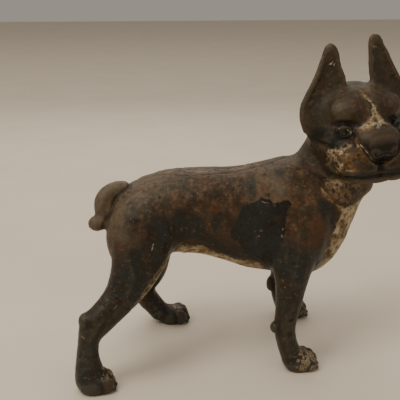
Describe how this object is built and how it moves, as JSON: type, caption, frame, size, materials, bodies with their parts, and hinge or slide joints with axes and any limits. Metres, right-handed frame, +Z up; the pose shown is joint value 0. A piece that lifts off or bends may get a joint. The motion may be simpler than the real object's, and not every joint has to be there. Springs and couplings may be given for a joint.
{
  "type": "cast iron doorstop",
  "caption": "Heavy cast iron doorstop shaped as a standing terrier with its head turned aside, cast hollow in halves joined by slotted screws, with worn painted finish.",
  "frame": {"origin": "on the floor, under the middle of the bounding box", "axes": "+Z up, +X the way the body faces, +Y the terrier's left; the casting seam is the plane Y = -0.0005 m"},
  "size_m": [0.2634, 0.1306, 0.258],
  "materials": {
    "right_half_casting": "worn black and cream paint over rusty cast iron",
    "left_half_casting": "worn black and cream paint over rusty cast iron",
    "front_screw": "dark aged steel",
    "rear_screw": "dark aged steel"
  },
  "bodies": {
    "root": {"right_half_casting": "right_half_casting", "left_half_casting": "left_half_casting", "front_screw": "front_screw", "rear_screw": "rear_screw"}
  },
  "joints": []
}
